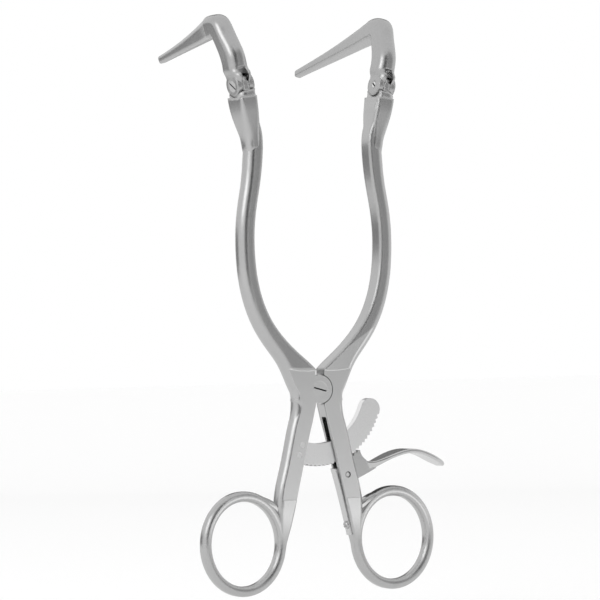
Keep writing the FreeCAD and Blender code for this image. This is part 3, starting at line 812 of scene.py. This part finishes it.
@dataclass
class Tips:
    """The hinged tips, shown fuller than their solids, which keep their hinges."""

    fuller: float = 0.19
    above_fork: Change = Change(0.0, 1.0, 3.0, 6.0)
    before_prong: Change = Change(1.0, 0.0, 9.0, 20.0)
    forward: float = 0.9
    front_starts: Change = Change(0.0, 1.0, 3.0, 8.5)
    front_ends: Change = Change(1.0, 0.0, 15.0, 23.0)
    front_more: Change = Change(0.55, 1.0, -2.0, 2.0)
    prong_starts: float = 9.0
    prong_reach: float = 47.0
    prong_rise: dict[Side, float] = field(
        default_factory=lambda: {Side.LEFT: 2.2, Side.RIGHT: -2.4})
    finishes: dict[Side, Finish] = field(
        default_factory=lambda: {Side.LEFT: Finish.LEFT_TIP, Side.RIGHT: Finish.RIGHT_TIP})

    def shaped(self, points: np.ndarray, side: Side) -> np.ndarray:
        """Fills out a tip's points.

        In the hinge's own frame, the shaft between fork and knee is scaled across
        and its front moved forward, and the prong rises in line with its reach.

        Args:
            points: the solid's points in millimetres.
            side: the half that the tip is on.

        Returns:
            The new points.
        """
        hinge = np.array((side.value * HINGE_OUT, MID_PLANE, HINGE_UP))
        tilt = side.value * sine(LEAN)
        turn = np.array(((cosine(LEAN), 0.0, tilt), (0.0, 1.0, 0.0), (-tilt, 0.0, cosine(LEAN))))
        across, back, up = ((points - hinge) @ turn).T
        shaft = self.above_fork.at(up) * self.before_prong.at(back)
        ahead = self.front_starts.at(up) * self.front_ends.at(up) * self.front_more.at(-back)
        beyond_knee = np.maximum(back - self.prong_starts, 0.0) / self.prong_reach
        local = (across * (1.0 + self.fuller * shaft), back - self.forward * ahead,
                 up + self.prong_rise[side] * beyond_knee)
        return np.stack(local, axis=1) @ turn.T + hinge

    def dress(self, dresser: Dresser) -> None:
        """Replaces both tips by their fuller forms.

        Args:
            dresser: holds the nodes and the finishes.
        """
        for side in Side:
            tip = side.named("tip")
            piece = eased_copy(dresser.nodes[tip], f"{tip}_forged",
                               lambda points, side=side: self.shaped(points, side))
            dresser.stand_in(piece, tip, tip, self.finishes[side])


@dataclass
class Ratchet:
    """The toothed bar, its rivets, the lever with its pin and the leaf spring."""

    rivets: tuple[str, ...] = ("upper_rivet", "lower_rivet")
    pin_share: float = 0.91
    tab_drop: Change = Change(0.0, 1.5, 7.5, 12.5)  # by how far out from the pin it lies

    def sunk(self, points: np.ndarray) -> np.ndarray:
        """Shortens the lever's pin about the middle plane, so that its ends lie in their holes."""
        across, depth, up = points.T
        return np.stack((across, MID_PLANE + (depth - MID_PLANE) * self.pin_share, up), axis=1)

    def lowered(self, points: np.ndarray) -> np.ndarray:
        """Lowers the lever's tab towards the shank, beyond the pawl's plate."""
        across, depth, up = points.T
        return np.stack((across, depth, up - self.tab_drop.at(across - PIN_OUT)), axis=1)

    def dress(self, dresser: Dresser) -> None:
        """Gives each piece of the ratchet its form and finish.

        Args:
            dresser: holds the nodes and the finishes.
        """
        dresser.wear("ratchet_bar", Finish.TOOTHED)
        lever = eased_copy(dresser.nodes["release_lever"], "release_lever_ground", self.lowered)
        dresser.stand_in(lever, "release_lever", "release_lever", Finish.LEVER)
        pin = eased_copy(dresser.nodes["lever_pin"], "lever_pin_sunk", self.sunk)
        dresser.stand_in(pin, "lever_pin", "right_half", Finish.GROUND)
        for node in self.rivets:
            dresser.wear(node, Finish.GROUND)
        dresser.wear("leaf_spring", Finish.SPRING)


@dataclass
class Screws:
    """The four slotted screws."""

    finishes: dict[str, Finish] = field(default_factory=lambda: {
        "joint_screw": Finish.JOINT_SCREW, "spring_screw": Finish.DOMED,
        "left_hinge_screw": Finish.LEFT_HINGE_SCREW,
        "right_hinge_screw": Finish.RIGHT_HINGE_SCREW})

    def dress(self, dresser: Dresser) -> None:
        """Gives each screw its own finish."""
        for node, kind in self.finishes.items():
            dresser.wear(node, kind)


def bearing(turn: float, rise: float) -> Vector:
    """Points away from the object.

    Args:
        turn: degrees from the front towards the left.
        rise: degrees above the level.

    Returns:
        The direction, one long.
    """
    level = cosine(rise)
    return Vector((-sine(turn) * level, -cosine(turn) * level, sine(rise)))


def oblong(name: str, wide: float, high: float) -> bpy.types.Mesh:
    """Draws a flat oblong about the origin, square to Z.

    Args:
        name: the mesh's name.
        wide: its size along X, in metres.
        high: its size along Y.

    Returns:
        The mesh.
    """
    half_wide, half_high = wide / 2, high / 2
    mesh = bpy.data.meshes.new(name)
    mesh.from_pydata([(-half_wide, -half_high, 0.0), (half_wide, -half_high, 0.0),
                      (half_wide, half_high, 0.0), (-half_wide, half_high, 0.0)],
                     [], [(0, 1, 2, 3)])
    return mesh


@dataclass
class Viewpoint:
    """The photograph's viewpoint, from the front and to the left of the instrument."""

    azimuth: float = math.radians(32.0)
    distance: float = 1.62
    frame_wide: float = 0.216
    aim_across: float = -5.35 * MM
    aim_up: float = 32.2 * MM
    roll: float = math.radians(0.85)
    sensor: float = 36.0
    sight_end: float = 10.0

    def make(self) -> bpy.types.Object:
        """Makes the camera, level with the object, and rolls it a little.

        Returns:
            The camera.
        """
        ahead = Vector((math.sin(self.azimuth), math.cos(self.azimuth), 0.0))
        right = Vector((math.cos(self.azimuth), -math.sin(self.azimuth), 0.0))
        aim = Vector((0.0, MID_PLANE * MM, self.aim_up)) + right * self.aim_across
        up = Vector((0.0, 0.0, math.cos(self.roll))) + right * math.sin(self.roll)
        across = ahead.cross(up)
        data = bpy.data.cameras.new("viewpoint")
        data.sensor_width = self.sensor
        data.lens = self.sensor * self.distance / self.frame_wide
        data.clip_end = self.sight_end
        camera = linked("viewpoint", data)
        camera.matrix_world = (Matrix.Translation(aim - ahead * self.distance)
                               @ Matrix((across, up, -ahead)).transposed().to_4x4())
        bpy.context.scene.camera = camera
        return camera


@dataclass(frozen=True)
class Card:
    """A flat studio card that stands off the object and shows only in its gloss."""

    name: str
    turn: float
    rise: float
    wide: float
    high: float
    shade: float
    distance: float = 1.1

    def make(self, centre: Vector) -> bpy.types.Object:
        """Stands the card on its bearing, facing the object.

        Args:
            centre: the point that it faces.

        Returns:
            The card.
        """
        away = bearing(self.turn, self.rise)
        mesh = oblong(self.name, self.wide, self.high)
        mesh.transform(away.to_track_quat("Z", "Y").to_matrix().to_4x4())
        mesh.transform(Matrix.Translation(centre + away * self.distance))
        shader = Shader(self.name)
        mesh.materials.append(shader.close(
            shader.node("Emission", Color=(self.shade,) * 3 + (1.0,), Strength=1.0)["Emission"]))
        card = linked(self.name, mesh)
        card.visible_camera = False
        card.visible_diffuse = False
        card.visible_shadow = False
        card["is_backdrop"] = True
        return card


@dataclass(frozen=True)
class Lamp:
    """A soft square lamp that faces the object."""

    name: str
    turn: float
    rise: float
    size: float
    power: float
    distance: float = 1.0

    def make(self, centre: Vector) -> bpy.types.Object:
        """Hangs the lamp on its bearing.

        Args:
            centre: the point that it faces.

        Returns:
            The lamp.
        """
        away = bearing(self.turn, self.rise)
        data = bpy.data.lights.new(self.name, "AREA")
        data.size = self.size
        data.energy = self.power
        lamp = linked(self.name, data)
        lamp.location = centre + away * self.distance
        lamp.rotation_euler = away.to_track_quat("Z", "Y").to_euler()
        return lamp


@dataclass
class Studio:
    """Plain pale floor, white surroundings, a soft lamp and grey cards."""

    floor_level: float
    centre: Vector
    floor_wide: float = 8.0
    floor_tone: float = 0.985
    floor_rough: float = 0.9
    key: Lamp = Lamp("key_lamp", 65.0, 25.0, 0.5, 1.2)
    cards: tuple[Card, ...] = (
        Card("card_ahead", 3.0, 0.0, 0.7, 1.8, 0.12),
        Card("card_right", -36.0, 0.0, 0.62, 1.8, 0.46),
        Card("card_back_left", 150.0, -18.0, 1.0, 0.95, 0.35),
        Card("card_back_right", -145.0, 0.0, 0.7, 1.8, 0.2),
    )

    def surround(self) -> None:
        """Makes the world plain white at a strength of one."""
        world = bpy.data.worlds.new("surroundings")
        world.use_nodes = True
        background = world.node_tree.nodes["Background"]
        background.inputs["Color"].default_value = (1.0, 1.0, 1.0, 1.0)
        background.inputs["Strength"].default_value = 1.0
        bpy.context.scene.world = world

    def floor(self) -> None:
        """Lays the pale floor under the rings."""
        mesh = oblong("floor", self.floor_wide, self.floor_wide)
        mesh.transform(Matrix.Translation((0.0, 0.0, self.floor_level)))
        shader = Shader("pale_floor")
        mesh.materials.append(shader.close(shader.node(
            "BsdfPrincipled", Base_Color=(self.floor_tone,) * 3 + (1.0,),
            Roughness=self.floor_rough)["BSDF"]))
        linked("floor", mesh)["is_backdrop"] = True

    def make(self) -> None:
        """Makes the whole studio."""
        self.surround()
        self.floor()
        for card in self.cards:
            card.make(self.centre)
        self.key.make(self.centre)
        bpy.context.scene.view_settings.view_transform = "Standard"


def main() -> None:
    """Builds everything in order."""
    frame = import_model()
    solid_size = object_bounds()
    dresser = Dresser(frame["nodes"])
    for group in (Halves(), Tips(), Ratchet(), Screws()):
        group.dress(dresser)
    low, high = (Vector(corner) for corner in solid_size)
    Studio(floor_level=low.z - RING_SWING * MM, centre=(low + high) / 2).make()
    Viewpoint().make()


if __name__ == "__main__":
    logging.basicConfig(level=logging.INFO, format="%(name)s: %(message)s")
    main()
